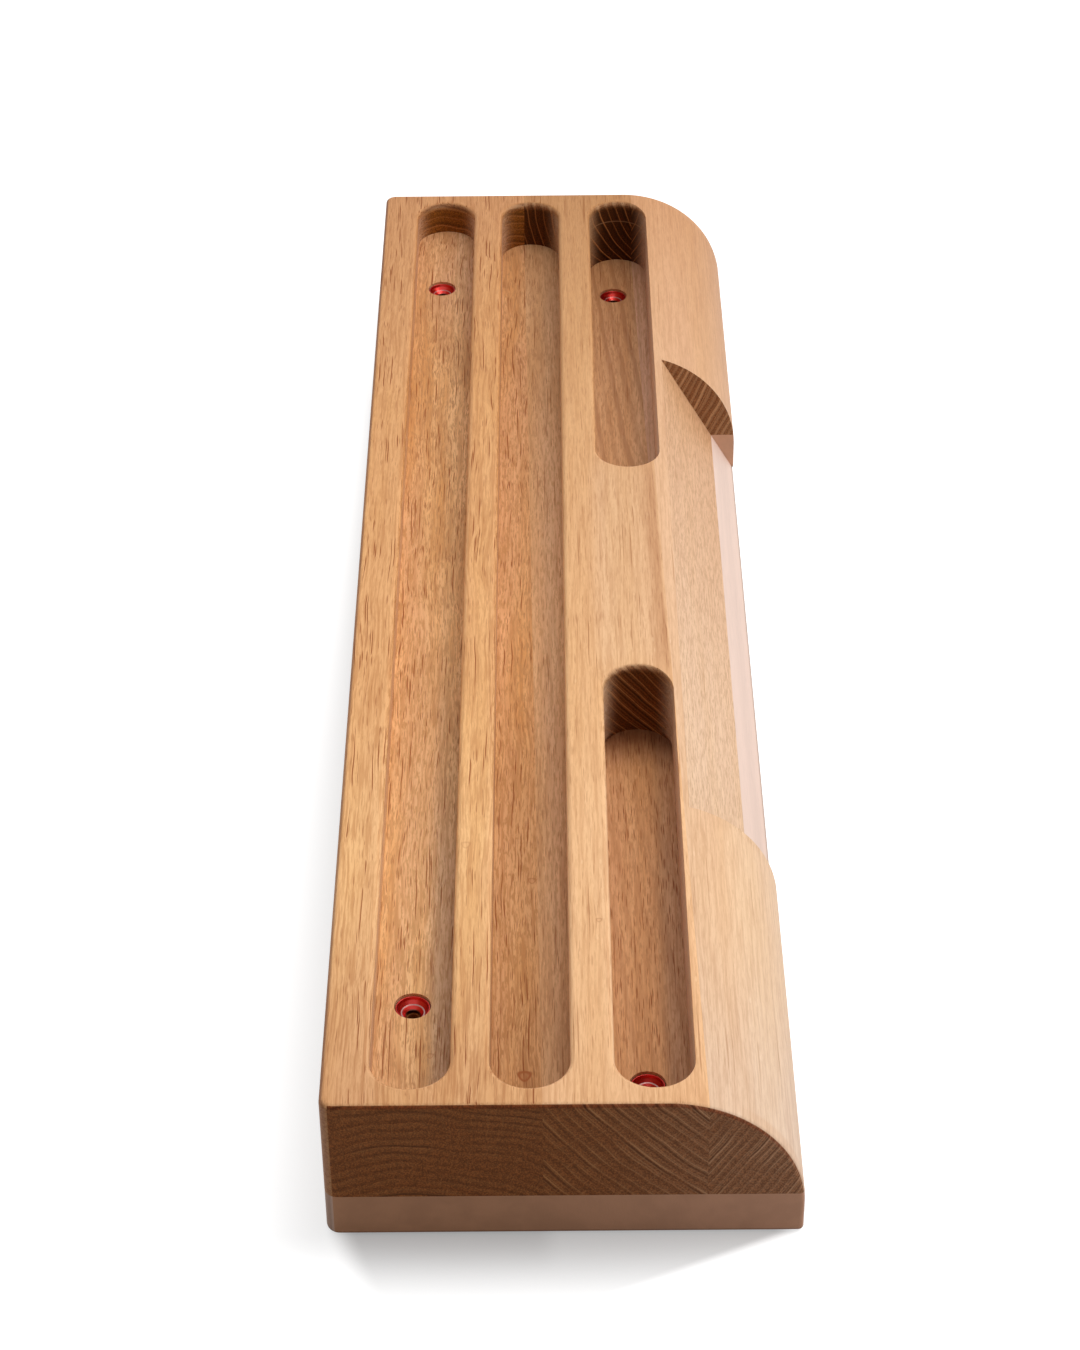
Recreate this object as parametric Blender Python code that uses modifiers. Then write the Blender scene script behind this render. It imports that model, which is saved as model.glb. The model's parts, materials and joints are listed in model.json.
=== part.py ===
"""Wooden hangboard: three glued oak staves on a base board, with four cup washers for its screws.

The board lies on its back. X runs along its length, Y points to the edge that is up when it hangs on a
wall, and Z comes out of its front. The origin is the middle of the back face. Sizes are in metres.
"""

from math import cos, pi, radians, sin, tan

import bmesh
import bpy

# Board
LENGTH = 0.578
HEIGHT = 0.150
BASE_THICKNESS = 0.017
OAK_THICKNESS = 0.039
GLUE_GAP = 0.0003
LOWER_CORNER_RADIUS = 0.0043
EDGE_RADIUS = 0.0018

# Y of the oak staves' glue lines at the left and at the right end: the staves taper a little
LOWER_GLUE_LINE = (-0.0135, -0.0065)
UPPER_GLUE_LINE = (0.0345, 0.0445)

# Top edge: a large round at both ends for the jugs, and a flat sloper between them
TOP_ROUND_RADIUS = 0.044
SLOPER_TILT = radians(30)
SLOPER_LEFT_X = -0.1483
SLOPER_RIGHT_X = 0.1443
SLOPER_EDGE_RADIUS = 0.004

# Finger slots and pockets
GROOVE_WIDTH = 0.025
GROOVE_END_WALL = 0.0085
RIM_RADIUS = 0.0018
LOWER_SLOT_Y = -0.0477
LOWER_SLOT_DEPTH = 0.014
MIDDLE_SLOT_Y = -0.0105
MIDDLE_SLOT_DEPTH = 0.021
POCKET_Y = 0.0282
POCKET_DEPTH = 0.029
POCKET_INNER_END_X = 0.066

# Cup washers and the screw holes under them, whose (x, y) places aren't quite even from left to right
WASHER_PLACES = {
    "lower_left": (-0.2294, -0.0491),
    "lower_right": (0.2292, -0.0483),
    "upper_left": (-0.2480, 0.0260),
    "upper_right": (0.2505, 0.0268),
}
WASHER_RADIUS = 0.00565
WASHER_HEIGHT = 0.0042
WASHER_FLANGE = 0.0010
WASHER_FOOT_RADIUS = 0.0040
WASHER_LIP = 0.0006
WASHER_STEP_DEPTH = 0.0021
WASHER_STEP_RADIUS = 0.0039
WASHER_STEP_WIDTH = 0.0004
WASHER_SEAT_DEPTH = 0.0032
WASHER_BORE_RADIUS = 0.00225
WASHER_SUNK = 0.0008
SEAT_GAP = 0.0003
SCREW_HOLE_RADIUS = 0.0019

# Smoothness of the rounds, and how far the cutters reach past what they cut
ROUND_STEPS = 16
CORNER_STEPS = 5
EDGE_STEPS = 3
TURNED_STEPS = 32
SMOOTH_ANGLE = radians(25)
EASED_ANGLE = radians(40)
MERGE_DISTANCE = 0.00001
CLEAR = 0.010
RIM_OVERCUT = 0.0018

THICKNESS = BASE_THICKNESS + OAK_THICKNESS
HALF_LENGTH = LENGTH / 2
HALF_HEIGHT = HEIGHT / 2
SLOPER_FRONT_Y = HALF_HEIGHT - THICKNESS * tan(SLOPER_TILT)


def clear_scene():
    for thing in list(bpy.data.objects):
        bpy.data.objects.remove(thing, do_unlink=True)


def add_collection(name):
    collection = bpy.data.collections.new(name)
    bpy.context.scene.collection.children.link(collection)
    return collection


def make_material(name, color, roughness, metallic=0.0):
    material = bpy.data.materials.new(name)
    material.use_nodes = True
    shader = material.node_tree.nodes["Principled BSDF"]
    shader.inputs["Base Color"].default_value = (*color, 1.0)
    shader.inputs["Roughness"].default_value = roughness
    shader.inputs["Metallic"].default_value = metallic
    material.diffuse_color = (*color, 1.0)
    return material


def add_object(name, mesh, collection, material=None):
    thing = bpy.data.objects.new(name, mesh)
    collection.objects.link(thing)
    if material:
        mesh.materials.append(material)
    return thing


def add_cutter(name, mesh, collection):
    cutter = add_object(name, mesh, collection)
    cutter.display_type = "WIRE"
    cutter.hide_render = True
    return cutter


def mesh_from(bm, name):
    bmesh.ops.recalc_face_normals(bm, faces=bm.faces)
    mesh = bpy.data.meshes.new(name)
    bm.to_mesh(mesh)
    bm.free()
    mesh.shade_smooth()
    mesh.set_sharp_from_angle(angle=SMOOTH_ANGLE)
    return mesh


def loft(bm, rings):
    """A closed solid through rings of as many points each."""
    loops = [[bm.verts.new(point) for point in ring] for ring in rings]
    count = len(rings[0])
    for low, high in zip(loops, loops[1:]):
        for i in range(count):
            j = (i + 1) % count
            bm.faces.new((low[i], low[j], high[j], high[i]))
    bm.faces.new(loops[0][::-1])
    bm.faces.new(loops[-1])


def prism_along_x(bm, section, x_from, x_to):
    loft(bm, [[(x, y, z) for y, z in section] for x in (x_from, x_to)])


def board_section():
    """The (y, z) outline of the uncut board, with the round along its top edge."""
    middle_y = HALF_HEIGHT - TOP_ROUND_RADIUS
    middle_z = THICKNESS - TOP_ROUND_RADIUS
    turns = [pi / 2 * i / ROUND_STEPS for i in range(ROUND_STEPS + 1)]
    top_round = [(middle_y + TOP_ROUND_RADIUS * cos(t), middle_z + TOP_ROUND_RADIUS * sin(t)) for t in turns]
    return [(-HALF_HEIGHT, 0), (HALF_HEIGHT, 0), *top_round, (-HALF_HEIGHT, THICKNESS)]


def board_blank():
    """The glued-up board before the holds are cut, its two lower corners rounded."""
    bm = bmesh.new()
    prism_along_x(bm, board_section(), -HALF_LENGTH, HALF_LENGTH)
    lower_corners = []
    for edge in bm.edges:
        ends = [vertex.co for vertex in edge.verts]
        upright = abs(ends[0].z - ends[1].z) > BASE_THICKNESS
        if upright and all(end.y < 0 for end in ends):
            lower_corners.append(edge)
    bmesh.ops.bevel(bm, geom=lower_corners, offset=LOWER_CORNER_RADIUS, segments=CORNER_STEPS,
                    profile=0.5, affect="EDGES")
    return mesh_from(bm, "board_blank")


def sloper_cutter_section():
    """The (y, z) outline of what the sloper cut takes away, with a small round at the sloper's front edge.

    Each straight run of the round is tangent to it, and the first one leans a little, so that it crosses
    the front face instead of lying on it.
    """
    turn_range = pi / 2 - SLOPER_TILT
    middle_y = SLOPER_FRONT_Y - SLOPER_EDGE_RADIUS * tan(turn_range / 2)
    middle_z = THICKNESS - SLOPER_EDGE_RADIUS
    step = turn_range / EDGE_STEPS
    first_turn = pi / 2 - step / 2
    corners = []
    for i in range(EDGE_STEPS):
        tangent = first_turn - i * step
        following = max(tangent - step, SLOPER_TILT)
        between = (tangent + following) / 2
        radius = SLOPER_EDGE_RADIUS / cos((tangent - following) / 2)
        corners.append((middle_y + radius * cos(between), middle_z + radius * sin(between)))
    rise = tan(pi / 2 - first_turn)
    start = (corners[0][0] - CLEAR / rise, corners[0][1] + CLEAR)
    below = -CLEAR
    foot = (HALF_HEIGHT - below * tan(SLOPER_TILT), below)
    outside = foot[0] + CLEAR
    return [start, *corners, foot, (outside, below), (outside, start[1])]


def sloper_cutter(collection):
    bm = bmesh.new()
    prism_along_x(bm, sloper_cutter_section(), SLOPER_LEFT_X, SLOPER_RIGHT_X)
    return add_cutter("sloper_cutter", mesh_from(bm, "sloper_cutter"), collection)


def stadium(x_from, x_to, y, spread, z):
    """A ring with two straight sides and round ends, spread metres beyond the groove's walls."""
    radius = GROOVE_WIDTH / 2
    ring = []
    for middle_x, start in ((x_to - radius, -pi / 2), (x_from + radius, pi / 2)):
        for i in range(ROUND_STEPS + 1):
            turn = start + pi * i / ROUND_STEPS
            ring.append((middle_x + (radius + spread) * cos(turn), y + (radius + spread) * sin(turn), z))
    return ring


def rim_steps():
    """(spread, height below the face) up the wall and out over the rounded rim, ending above the face.

    The runs are tangent to the rim's round, and the last one leans, so that it crosses the front face.
    """
    last_tangent = radians(75)
    step = last_tangent / EDGE_STEPS
    radius = RIM_RADIUS / cos(step / 2)
    steps = []
    for i in range(EDGE_STEPS):
        turn = step * (i + 0.5)
        steps.append((RIM_RADIUS - radius * cos(turn), RIM_RADIUS - radius * sin(turn)))
    spread, below = steps[-1]
    climb = below + RIM_OVERCUT
    steps.append((spread + climb * tan(last_tangent), -RIM_OVERCUT))
    return steps


def groove_cutter(name, x_from, x_to, y, depth, collection):
    rings = [stadium(x_from, x_to, y, 0, THICKNESS - depth)]
    for spread, below in rim_steps():
        rings.append(stadium(x_from, x_to, y, spread, THICKNESS - below))
    bm = bmesh.new()
    loft(bm, rings)
    return add_cutter(name, mesh_from(bm, name), collection)


def turned_mesh(name, profile, closed):
    """A profile of (radius, z) points in the XZ plane, for a Screw modifier to turn."""
    edges = [(i, i + 1) for i in range(len(profile) - 1)]
    if closed:
        edges.append((len(profile) - 1, 0))
    mesh = bpy.data.meshes.new(name)
    mesh.from_pydata([(radius, 0, z) for radius, z in profile], edges, [])
    return mesh


def add_turning(thing):
    screw = thing.modifiers.new("turning", "SCREW")
    screw.axis = "Z"
    screw.steps = TURNED_STEPS
    screw.render_steps = TURNED_STEPS
    screw.use_merge_vertices = True
    screw.merge_threshold = MERGE_DISTANCE
    screw.use_smooth_shade = False


def screw_hole_cutter(name, x, y, floor_z, collection):
    """The washer's seat in a groove's floor and the screw hole on through the board."""
    top = floor_z - WASHER_SUNK
    seat_radius = WASHER_RADIUS + SEAT_GAP
    foot_radius = WASHER_FOOT_RADIUS + SEAT_GAP
    flange_bottom = top - WASHER_FLANGE - SEAT_GAP
    seat_bottom = top - WASHER_HEIGHT - SEAT_GAP
    profile = [(0, floor_z + CLEAR), (seat_radius, floor_z + CLEAR), (seat_radius, flange_bottom),
               (foot_radius, seat_bottom), (SCREW_HOLE_RADIUS, seat_bottom), (SCREW_HOLE_RADIUS, -CLEAR),
               (0, -CLEAR)]
    cutter = add_cutter(name, turned_mesh(name, profile, closed=False), collection)
    cutter.location = (x, y, 0)
    add_turning(cutter)
    return cutter


def washer_mesh(material):
    """A turned cup washer, its lip at height zero: a bowl, a bright step and a cone down to the bore."""
    bowl_radius = WASHER_RADIUS - WASHER_LIP
    profile = [(WASHER_RADIUS, 0), (WASHER_RADIUS, -WASHER_FLANGE), (WASHER_FOOT_RADIUS, -WASHER_HEIGHT),
               (WASHER_BORE_RADIUS, -WASHER_HEIGHT), (WASHER_BORE_RADIUS, -WASHER_SEAT_DEPTH),
               (WASHER_STEP_RADIUS - WASHER_STEP_WIDTH, -WASHER_STEP_DEPTH),
               (WASHER_STEP_RADIUS, -WASHER_STEP_DEPTH),
               (bowl_radius - WASHER_LIP / 2, -WASHER_STEP_DEPTH / 2), (bowl_radius, 0)]
    mesh = turned_mesh("cup_washer", profile, closed=True)
    mesh.materials.append(material)
    return mesh


def shifted(line, step):
    return tuple(y + step for y in line)


def line_y(line, x):
    """Y of a line that is given by its Y at the board's two ends."""
    return line[0] + (line[1] - line[0]) * (x + HALF_LENGTH) / LENGTH


def bounds_cutter(name, low_line, high_line, z_range, collection):
    """A block between two lines along the board, which runs out past both of its ends."""
    rings = []
    for x in (-HALF_LENGTH - CLEAR, HALF_LENGTH + CLEAR):
        low_y, high_y = line_y(low_line, x), line_y(high_line, x)
        low_z, high_z = z_range
        rings.append([(x, low_y, low_z), (x, high_y, low_z), (x, high_y, high_z), (x, low_y, high_z)])
    bm = bmesh.new()
    loft(bm, rings)
    return add_cutter(name, mesh_from(bm, name), collection)


def add_boolean(thing, operation, cutter):
    boolean = thing.modifiers.new(cutter.name, "BOOLEAN")
    boolean.operation = operation
    boolean.solver = "EXACT"
    boolean.object = cutter


def wood_piece(name, blank, low_line, high_line, z_range, material, cutters, parts, helpers):
    """One board of the glue-up: the blank cut down to its own bounds, and then the holds cut out of it."""
    piece = add_object(name, blank.copy(), parts, material)
    easing = piece.modifiers.new("eased_edges", "BEVEL")
    easing.width = EDGE_RADIUS
    easing.segments = EDGE_STEPS
    easing.limit_method = "ANGLE"
    easing.angle_limit = EASED_ANGLE
    bounds = bounds_cutter(name + "_bounds", low_line, high_line, z_range, helpers)
    add_boolean(piece, "INTERSECT", bounds)
    for cutter in cutters:
        add_boolean(piece, "DIFFERENCE", cutter)
    return piece


def build():
    clear_scene()
    parts = add_collection("hangboard")
    helpers = add_collection("cutters")
    oak = make_material("oak", (0.60, 0.36, 0.18), 0.55)
    pale_hardwood = make_material("pale_hardwood", (0.62, 0.42, 0.30), 0.50)
    red_anodised = make_material("red_anodised", (0.45, 0.02, 0.02), 0.30, 1.0)

    end_x = HALF_LENGTH - GROOVE_END_WALL
    sloper = sloper_cutter(helpers)
    lower_slot = groove_cutter("lower_slot_cutter", -end_x, end_x, LOWER_SLOT_Y, LOWER_SLOT_DEPTH, helpers)
    middle_slot = groove_cutter("middle_slot_cutter", -end_x, end_x, MIDDLE_SLOT_Y, MIDDLE_SLOT_DEPTH, helpers)
    left_pocket = groove_cutter("left_pocket_cutter", -end_x, -POCKET_INNER_END_X, POCKET_Y, POCKET_DEPTH,
                                helpers)
    right_pocket = groove_cutter("right_pocket_cutter", POCKET_INNER_END_X, end_x, POCKET_Y, POCKET_DEPTH,
                                 helpers)

    lower_floor = THICKNESS - LOWER_SLOT_DEPTH
    pocket_floor = THICKNESS - POCKET_DEPTH
    washer = washer_mesh(red_anodised)
    holes = {}
    for place, (x, y) in WASHER_PLACES.items():
        floor_z = lower_floor if place.startswith("lower") else pocket_floor
        holes[place] = screw_hole_cutter(place + "_hole_cutter", x, y, floor_z, helpers)
        cup = add_object("cup_washer_" + place, washer, parts)
        cup.location = (x, y, floor_z - WASHER_SUNK)
        add_turning(cup)

    blank = board_blank()
    half_gap = GLUE_GAP / 2
    oak_z = (BASE_THICKNESS + half_gap, THICKNESS + CLEAR)
    base_z = (-CLEAR, BASE_THICKNESS - half_gap)
    outside = HALF_HEIGHT + CLEAR
    bottom_edge = (-outside, -outside)
    top_edge = (outside, outside)
    lower_holes = [holes["lower_left"], holes["lower_right"]]
    upper_holes = [holes["upper_left"], holes["upper_right"]]
    pockets = [left_pocket, right_pocket]
    wood_piece("oak_stave_bottom", blank, bottom_edge, shifted(LOWER_GLUE_LINE, -half_gap), oak_z, oak,
               [lower_slot, middle_slot, *lower_holes], parts, helpers)
    wood_piece("oak_stave_middle", blank, shifted(LOWER_GLUE_LINE, half_gap), shifted(UPPER_GLUE_LINE, -half_gap),
               oak_z, oak, [sloper, middle_slot, *pockets, *upper_holes], parts, helpers)
    wood_piece("oak_stave_top", blank, shifted(UPPER_GLUE_LINE, half_gap), top_edge, oak_z, oak,
               [sloper, *pockets], parts, helpers)
    wood_piece("base_board", blank, bottom_edge, top_edge, base_z, pale_hardwood,
               [sloper, *lower_holes, *upper_holes], parts, helpers)


build()
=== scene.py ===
"""Looks of a wooden climbing hangboard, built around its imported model.

A pale base board and three oak staves are glued up, shaped and routed as one blank, and red cup washers sit
in the floors of the holds. The board lies on its back on a pale floor. Sizes are in metres.
"""

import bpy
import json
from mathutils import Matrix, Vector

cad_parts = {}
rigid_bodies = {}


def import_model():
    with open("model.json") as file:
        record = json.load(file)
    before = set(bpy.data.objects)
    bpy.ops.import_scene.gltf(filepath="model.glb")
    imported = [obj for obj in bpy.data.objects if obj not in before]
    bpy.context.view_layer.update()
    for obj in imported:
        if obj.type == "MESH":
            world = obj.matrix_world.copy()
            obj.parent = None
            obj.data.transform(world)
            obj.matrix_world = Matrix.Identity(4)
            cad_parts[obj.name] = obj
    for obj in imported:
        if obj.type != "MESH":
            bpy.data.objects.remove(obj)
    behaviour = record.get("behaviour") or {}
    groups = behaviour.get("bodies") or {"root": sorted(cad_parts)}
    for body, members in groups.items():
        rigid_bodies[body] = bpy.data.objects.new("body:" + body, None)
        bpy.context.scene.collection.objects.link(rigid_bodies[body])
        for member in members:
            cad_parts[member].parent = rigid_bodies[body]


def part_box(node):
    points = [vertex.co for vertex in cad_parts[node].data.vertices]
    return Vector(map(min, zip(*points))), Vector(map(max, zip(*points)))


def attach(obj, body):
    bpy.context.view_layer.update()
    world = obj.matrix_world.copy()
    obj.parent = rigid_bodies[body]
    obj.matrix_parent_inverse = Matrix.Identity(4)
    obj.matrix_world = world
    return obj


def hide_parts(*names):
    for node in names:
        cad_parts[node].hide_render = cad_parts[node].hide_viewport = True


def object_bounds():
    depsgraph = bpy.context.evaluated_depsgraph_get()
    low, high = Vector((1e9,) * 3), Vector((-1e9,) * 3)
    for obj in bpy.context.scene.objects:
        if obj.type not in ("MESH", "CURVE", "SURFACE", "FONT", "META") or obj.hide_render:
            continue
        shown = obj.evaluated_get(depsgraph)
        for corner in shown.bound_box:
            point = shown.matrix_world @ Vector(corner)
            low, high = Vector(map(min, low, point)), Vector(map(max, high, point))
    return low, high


bl_info = {
    "name": "Wooden hangboard",
    "version": (1, 0, 0),
    "blender": (4, 5, 0),
    "location": "View3D > Sidebar > Hangboard",
    "description": "Glued-up oak hangboard with routed holds, a sloper between two jugs and cup washers",
    "category": "Add Mesh",
}

import json
from functools import reduce
from math import cos, pi, radians, sin, tan
from types import SimpleNamespace

import bmesh
import bpy
from bpy.props import FloatProperty, FloatVectorProperty, PointerProperty
from mathutils import Matrix, Vector

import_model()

CAD_LOW, CAD_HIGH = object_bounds()
BODY = "root"
BENCH = "bench"
BLANK = "routed_blank"

# How finely the rounds are cut
TOP_ROUND_STEPS = 72
CORNER_STEPS = 12
EASING_STEPS = 5
SLOPER_EDGE_STEPS = 12
GROOVE_STEPS = 128
RIM_STEPS = 10
TURNED_STEPS = 96
WASHER_EDGE_STEPS = 5

# A cutter's round stops a little short of the front's slope and runs straight on from there, and cutters
# reach clear of the board
LAST_TANGENT = radians(88)
LEAVING_RUN = 0.001
CLEAR = 0.010

# Edges sharper than these are sanded, or stay sharp when shaded
EASED_ANGLE = radians(40)
SHARP_ANGLE = radians(30)

# Rounds of a washer's edges, and how much narrower its bowl is lower down
WASHER_EDGE = 0.0001
CONE_EDGE = 0.0002
BOWL_EDGE = 0.0008
BOWL_SLANT = 0.0003

# Height of the fine line between two passes of the router in the far pocket's end, how far from a washer's
# axis the wood in its screw hole gets painted shade, how far it shows no end grain, and how softly both end
ROUTING_STEP_Z = 0.0465
SEAT_REACH = 0.0050
SEAT_WALL = 0.0062
SEAT_FADE = 0.0003

# How fast the patterns change along, across and through the board. Rays go along the board, round the pith
# and out from it, and turning marks out from a washer's axis and along it.
RING_SHIFT_SCALE = (3, 40, 40)
BAND_SCALE = (9, 210, 210)
PATCH_SCALE = (5, 60, 60)
DASH_SCALE = (15, 1150, 1150)
TICK_SCALE = (75, 1700, 1700)
FIBRE_SCALE = (34, 1100, 1100)
SPECK_SCALE = (180, 1500, 1500)
FLECK_SCALE = (160, 560, 560)
END_SPECKLE_SCALE = (60, 1700, 1700)
CLEAR_RING_SCALE = (3, 50, 50)
RAY_SCALE = (40, 260, 90)
BASE_WANDER_SCALE = (6, 20, 20)
BASE_BAND_SCALE = (5, 120, 120)
BASE_FIBRE_SCALE = (90, 1300, 1300)
TURNING_SCALE = (9000, 9000, 0)

# What the wood's own colour is multiplied by where it differs, and where light or shade is painted into it.
# Pairs are for the far and the near end, for the left and the right of an end face, and for the lit and the
# shaded side of the deeper slot.
PALE_BAND = (1.16, 1.18, 1.20)
ORANGE_BAND = (0.88, 0.74, 0.56)
PINK_BAND = (0.98, 0.94, 1.10)
STREAK = (0.64, 0.54, 0.50)
FIBRE = (0.62, 0.46, 0.36)
SPECK = (0.70, 0.60, 0.52)
FLECK = (1.15, 1.20, 1.30)
GROOVE = ((1.04, 1.11, 1.16), (0.99, 1.03, 1.06))
# Painted shade on the jugs' side of each hold's floor, where its wall's shadow falls: lighter and bluer at
# the far end, darker at the near end
SHADE = ((1.05, 1.14, 1.26), (0.80, 0.86, 0.99))
# The sloper's tone, far and near: its paler, bluer near part is partly the wood and partly painted sheen
SLOPER_TONE_AND_SHEEN = ((0.98, 0.96, 0.91), (1.05, 1.11, 1.17))
POCKET_FLOOR = ((0.99, 1.03, 1.12), (0.86, 0.80, 0.75))
POCKET_WALL = ((0.37, 0.26, 0.10), (0.78, 0.58, 0.29))
POCKET_RINGS = ((1.10, 0.85, 0.55), (1.25, 1.10, 0.80))
# The outer ends' end-grain tone, made lighter towards the right with painted light, in the oak and in the
# base board
OUTER_END_TONE_AND_PAINTED_LIGHT = ((1.43, 1.27, 0.96), (1.98, 2.30, 2.90))
BASE_OUTER_END_TONE_AND_PAINTED_LIGHT = ((1.15, 1.06, 0.98), (1.43, 1.39, 1.43))
# Painted shade in the near part of the deeper slot, as lit and shaded copies of its tone
PAINTED_DEEP_SLOT_SHADE = ((0.82, 0.75, 0.68), (1.08, 0.99, 0.87))
FAR_SLOT_END = (1.07, 1.12, 1.20)
# Painted shadow on the near pocket's floor at the foot of its inner end wall
PAINTED_POCKET_SHADOW = (0.30, 0.20, 0.155)
GROOVE_WALL = (0.94, 1.03, 1.24)
# Painted light on the jugs' inner ends, in the oak and in the base board
PAINTED_JUG_END_LIGHT = (1.55, 1.75, 1.90)
PAINTED_BASE_JUG_END_LIGHT = (1.50, 1.65, 1.80)
# Painted shade on the lower side and its rounded edges, on the oak and on the base board
PAINTED_SIDE_SHADE = (0.56, 0.49, 0.50)
PAINTED_BASE_SIDE_SHADE = (0.53, 0.44, 0.38)
# Painted shade along the base board's bottom edge
PAINTED_FOOT_SHADE = (0.50, 0.42, 0.36)
# Painted shade on the top easing of the board's outer ends
PAINTED_EDGE_SHADE = (0.70, 0.52, 0.48)
JOINT_STREAK = (0.78, 0.69, 0.63)
# Painted shade on the wood down in the screw holes
PAINTED_HOLE_SHADE = (0.42, 0.26, 0.15)

# Painted shade in the washers' bores
PAINTED_BORE_SHADE = (0.10, 0.030, 0.014)
WOOD_SHINE = 0.12
WOOD_BUMP = 0.00004
TURNING_BUMP = 0.00002

GROOVE_LABELS = ("Left End", "Right End", "Place", "Width", "Floor", "Front", "Rim")
BOARD_LABELS = ("Length", "Low Left", "Low Right", "High Left", "High Right", "Back", "Front")

FLOOR_HALF = 6.0
SOFTBOX_SIZE = (0.7, 1.5)
SOFTBOX_PLACE = (-0.05, 0.65, 1.13)
SOFTBOX_TARGET = (-0.05, 0.0, 0.03)


def slanted_joint(lower_node, upper_node):
    """Y of the joint between two staves at the board's left and right end. It leans from left to right, so
    it starts where the upper stave reaches lowest, and ends where the lower stave reaches highest."""
    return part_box(upper_node)[0].y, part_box(lower_node)[1].y


def washer_place(node):
    """The middle of a washer's lip."""
    low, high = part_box(node)
    return Vector(((low.x + high.x) / 2, (low.y + high.y) / 2, high.z))


GLUE_LINE_Z = (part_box("base_board")[1].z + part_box("oak_stave_bottom")[0].z) / 2
LOWER_JOINT = slanted_joint("oak_stave_bottom", "oak_stave_middle")
UPPER_JOINT = slanted_joint("oak_stave_middle", "oak_stave_top")
BOTTOM_EDGE = (CAD_LOW.y - CLEAR, CAD_LOW.y - CLEAR)
TOP_EDGE = (CAD_HIGH.y + CLEAR, CAD_HIGH.y + CLEAR)
WASHERS = {place: washer_place("cup_washer_" + place)
           for place in ("lower_left", "lower_right", "upper_left", "upper_right")}


# How each oak stave lay in its tree, in metres. On the long faces and at the far end its pith is at "pith"
# (y, z) at the board's middle and leans along X by "lean". Towards the near end's end grain it moves to
# "near_pith". "ring" is a ring's width, "wave" how far the grain waves, and "start" where the pattern starts
# along X. "rings" is how clear the end grain's ring lines are, "figure" the coloured bands, "streaks" the
# ring streaks, "fibres" and "specks" the long faces' fine lines and dots. "dashes" and "ticks" are the share
# and the clearness of long and short pores, and "flecks" the share of pale ray flecks. "far", "between" (the
# pockets), "middle" and "near" are tones of the long faces, and "slot_wall" of a slot's end wall. "washers"
# names the row that sits in the stave, and "knots" gives the place, size and strength of small knots.
OAK_CUTS = {
    "bottom": SimpleNamespace(
        pith=(-0.047, -0.060), lean=(0.0, 0.030), near_pith=(-0.047, -0.051), ring=0.0036, wave=0.0075,
        start=0.0, rings=0.30, figure=0.82, streaks=0.32, fibres=0.60, specks=0.40, dashes=(0.46, 1.00),
        ticks=(0.34, 0.60), flecks=0.0, far=(0.75, 0.68, 0.68), between=(1.0, 1.0, 1.0),
        middle=(1.07, 1.15, 1.25), near=(0.81, 0.75, 0.765), slot_wall=(1.39, 1.30, 0.53), washers="lower",
        knots=((0.2547, -0.0124, 0.0020, 1.0), (0.1599, -0.0100, 0.0013, 0.45),
               (0.2524, -0.0421, 0.0010, 0.40), (0.1657, -0.0319, 0.0015, 0.25))),
    "middle": SimpleNamespace(
        pith=(0.0695, 0.075), lean=(0.037, 0.060), near_pith=(0.147, 0.155), ring=0.0036, wave=0.0024,
        start=2.0, rings=0.85, figure=0.42, streaks=0.26, fibres=0.38, specks=0.30, dashes=(0.20, 0.56),
        ticks=(0.60, 0.38), flecks=0.04, far=(0.62, 0.52, 0.43), between=(1.01, 1.07, 1.20),
        middle=(1.04, 1.08, 1.16), near=(0.94, 0.91, 0.89), slot_wall=(0.50, 0.38, 0.16), washers="upper",
        knots=((0.2042, 0.0120, 0.0009, 0.35),)),
    "top": SimpleNamespace(
        pith=(-0.0737, 0.103), lean=(0.030, 0.062), near_pith=(0.155, -0.035), ring=0.0026, wave=0.0040,
        start=4.0, rings=1.0, figure=0.38, streaks=0.16, fibres=0.30, specks=0.25, dashes=(0.05, 0.35),
        ticks=(0.25, 0.20), flecks=0.03, far=(0.75, 0.59, 0.46), between=(1.0, 1.0, 1.0),
        middle=(0.97, 0.96, 0.92), near=(0.96, 1.02, 1.17), slot_wall=(0.50, 0.38, 0.16), washers="upper",
        knots=()),
}


def amount(name, description, default, unit="NONE"):
    return FloatProperty(name=name, description=description, default=default, unit=unit)


def distance(name, description, default):
    return FloatProperty(name=name, description=description, default=default, subtype="DISTANCE",
                         unit="LENGTH", precision=4)


def angle(name, description, degrees):
    return FloatProperty(name=name, description=description, default=radians(degrees), subtype="ANGLE",
                         unit="ROTATION")


def colour(name, description, default):
    return FloatVectorProperty(name=name, description=description, default=default, subtype="COLOR", size=3,
                               min=0.0, max=1.0)


class HangboardShape(bpy.types.PropertyGroup):
    """The board before its grooves are routed."""
    length: distance("Length", "Length of the board", CAD_HIGH.x - CAD_LOW.x)
    height: distance("Height", "Height of the board on the wall", CAD_HIGH.y - CAD_LOW.y)
    thickness: distance("Thickness", "Thickness of the whole glue-up", CAD_HIGH.z - CAD_LOW.z)
    corner_radius: distance("Corner radius", "Round of the two lower corners", 0.0043)
    easing: distance("Easing", "Round of every sanded outer edge", 0.0018)
    top_radius: distance("Jug radius", "Large round along the top edge", 0.044)
    sloper_tilt: angle("Sloper tilt", "Tilt of the sloper from the thickness", 30)
    sloper_left: distance("Sloper left end", "Inner end of the left jug", -0.1483)
    sloper_right: distance("Sloper right end", "Inner end of the right jug", 0.1443)
    sloper_edge: distance("Sloper edge", "Round between the front and the sloper", 0.004)


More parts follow.
